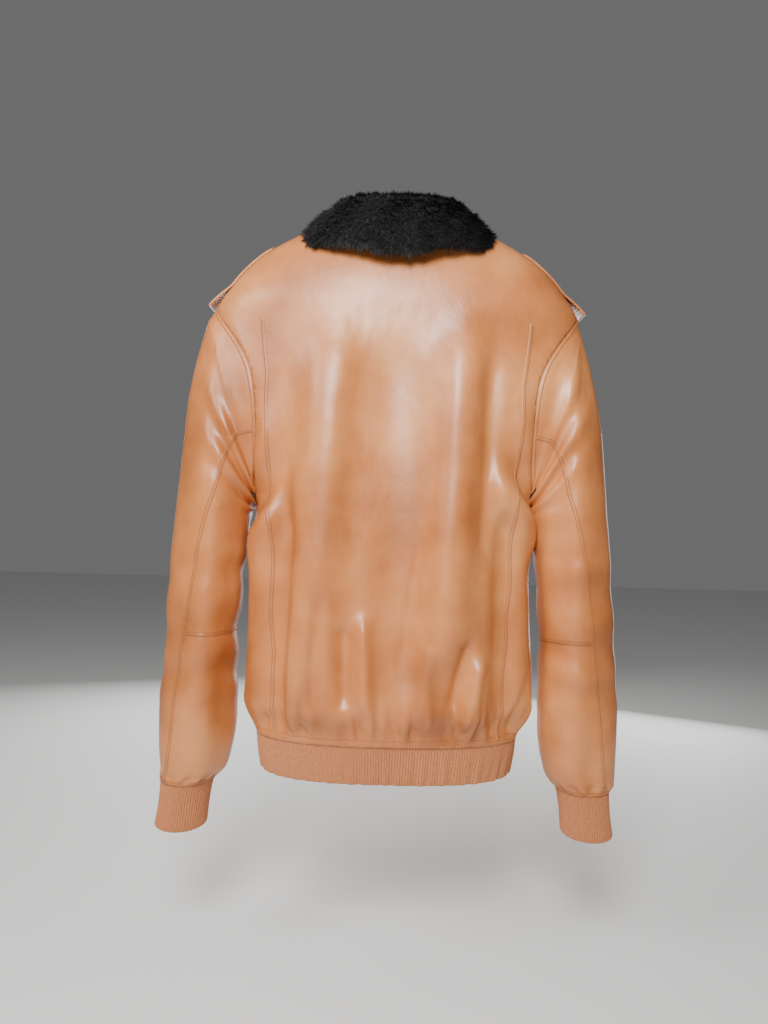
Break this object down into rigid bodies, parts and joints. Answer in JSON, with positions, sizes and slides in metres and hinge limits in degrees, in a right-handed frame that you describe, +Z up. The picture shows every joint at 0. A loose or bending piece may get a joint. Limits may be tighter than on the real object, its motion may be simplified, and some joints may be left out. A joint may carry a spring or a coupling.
{
  "type": "leather jacket",
  "caption": "Waist-length leather flight jacket with a turned-down fur collar, shoulder straps, open zipped front, slanted zipped pockets, knitted hem and cuffs.",
  "frame": {"origin": "the hanger seat: the middle of the neck opening, level with the neck ends of the shoulders", "axes": "+Z up, +X the wearer's left, -Y the jacket's front"},
  "size_m": [0.59, 0.1881, 0.792],
  "materials": {
    "leather": "glossy, softly creased",
    "lining": "satin",
    "knit": "ribbed, matte",
    "fur": "long pile",
    "tape": "woven",
    "metal": "antique satin",
    "snap": "satin"
  },
  "bodies": {
    "torso": {"back_panel": "leather", "lining_body": "lining", "neck_facing": "leather", "hem_band_back": "knit", "fur_collar": "fur", "undercollar": "leather", "epaulette_studs": "snap", "side_panel_left": "leather", "side_panel_right": "leather", "front_side_left": "leather", "front_side_right": "leather", "top_sleeve_left": "leather", "top_sleeve_right": "leather", "under_sleeve_left": "leather", "under_sleeve_right": "leather", "sleeve_lining_left": "lining", "sleeve_lining_right": "lining", "elbow_fold_left": "leather", "elbow_fold_right": "leather"},
    "front_left": {"front_panel_left": "leather", "lining_front_left": "lining", "front_facing_left": "leather", "hem_band_left": "knit", "zip_tape_left": "tape", "zip_teeth_left": "metal", "pocket_welt_left": "leather", "pocket_zip_left": "metal", "pocket_bag_left": "lining"},
    "pocket_slider_left": {"pocket_slider_left": "metal"},
    "pocket_pull_left": {"pocket_pull_left": "metal"},
    "forearm_left": {"top_sleeve_lower_left": "leather", "under_sleeve_lower_left": "leather", "sleeve_lining_lower_left": "lining", "cuff_left": "knit"},
    "epaulette_left": {"epaulette_left": "leather", "epaulette_cap_left": "snap"},
    "front_right": {"front_panel_right": "leather", "lining_front_right": "lining", "front_facing_right": "leather", "hem_band_right": "knit", "zip_tape_right": "tape", "zip_teeth_right": "metal", "pocket_welt_right": "leather", "pocket_zip_right": "metal", "pocket_bag_right": "lining"},
    "pocket_slider_right": {"pocket_slider_right": "metal"},
    "pocket_pull_right": {"pocket_pull_right": "metal"},
    "forearm_right": {"top_sleeve_lower_right": "leather", "under_sleeve_lower_right": "leather", "sleeve_lining_lower_right": "lining", "cuff_right": "knit"},
    "epaulette_right": {"epaulette_right": "leather", "epaulette_cap_right": "snap"},
    "zip_slider": {"zip_slider": "metal"},
    "zip_pull": {"zip_pull": "metal"},
    "hanger_loop": {"hanger_loop": "leather"}
  },
  "joints": [
    {"name": "front_left_open", "type": "hinge", "parent": "torso", "child": "front_left", "pos_m": [0.0295, -0.0625, -0.116], "axis": [-0.1698, 0.0061, 0.9855], "range_deg": [0, 70]},
    {"name": "front_right_open", "type": "hinge", "parent": "torso", "child": "front_right", "pos_m": [-0.0295, -0.0625, -0.116], "axis": [-0.1698, -0.0061, -0.9855], "range_deg": [0, 70]},
    {"name": "zip_slide", "type": "slide", "parent": "front_right", "child": "zip_slider", "axis": [0, 0.022, 0.9998], "range_m": [0, 0.52]},
    {"name": "zip_pull_swing", "type": "hinge", "parent": "zip_slider", "child": "zip_pull", "pos_m": [-0.0158, -0.07241, -0.65567], "axis": [-1, 0, 0], "range_deg": [0, 100]},
    {"name": "pocket_slide_left", "type": "slide", "parent": "front_left", "child": "pocket_slider_left", "axis": [0.1668, -0.0106, -0.9859], "range_m": [0, 0.11]},
    {"name": "pocket_pull_swing_left", "type": "hinge", "parent": "pocket_slider_left", "child": "pocket_pull_left", "pos_m": [0.05358, -0.0689, -0.45934], "axis": [-0.986, 0, -0.1669], "range_deg": [0, 100]},
    {"name": "pocket_slide_right", "type": "slide", "parent": "front_right", "child": "pocket_slider_right", "axis": [-0.1668, -0.0106, -0.9859], "range_m": [0, 0.11]},
    {"name": "pocket_pull_swing_right", "type": "hinge", "parent": "pocket_slider_right", "child": "pocket_pull_right", "pos_m": [-0.05358, -0.0689, -0.45934], "axis": [-0.986, 0, 0.1669], "range_deg": [0, 100]},
    {"name": "elbow_left", "type": "hinge", "parent": "torso", "child": "forearm_left", "pos_m": [0.237, -0.0015, -0.476], "axis": [-1, 0, 0], "range_deg": [0, 75], "deforming": ["elbow_fold_left"]},
    {"name": "elbow_right", "type": "hinge", "parent": "torso", "child": "forearm_right", "pos_m": [-0.237, -0.0015, -0.476], "axis": [-1, 0, 0], "range_deg": [0, 75], "deforming": ["elbow_fold_right"]},
    {"name": "epaulette_lift_left", "type": "hinge", "parent": "torso", "child": "epaulette_left", "pos_m": [0.2386, 0, -0.09986], "axis": [0, 1, 0], "range_deg": [0, 150]},
    {"name": "epaulette_lift_right", "type": "hinge", "parent": "torso", "child": "epaulette_right", "pos_m": [-0.2386, 0, -0.09986], "axis": [0, -1, 0], "range_deg": [0, 150]},
    {"name": "loop_swing", "type": "hinge", "parent": "torso", "child": "hanger_loop", "pos_m": [0, 0.0446, -0.009], "axis": [1, 0, 0], "range_deg": [-40, 40]}
  ]
}
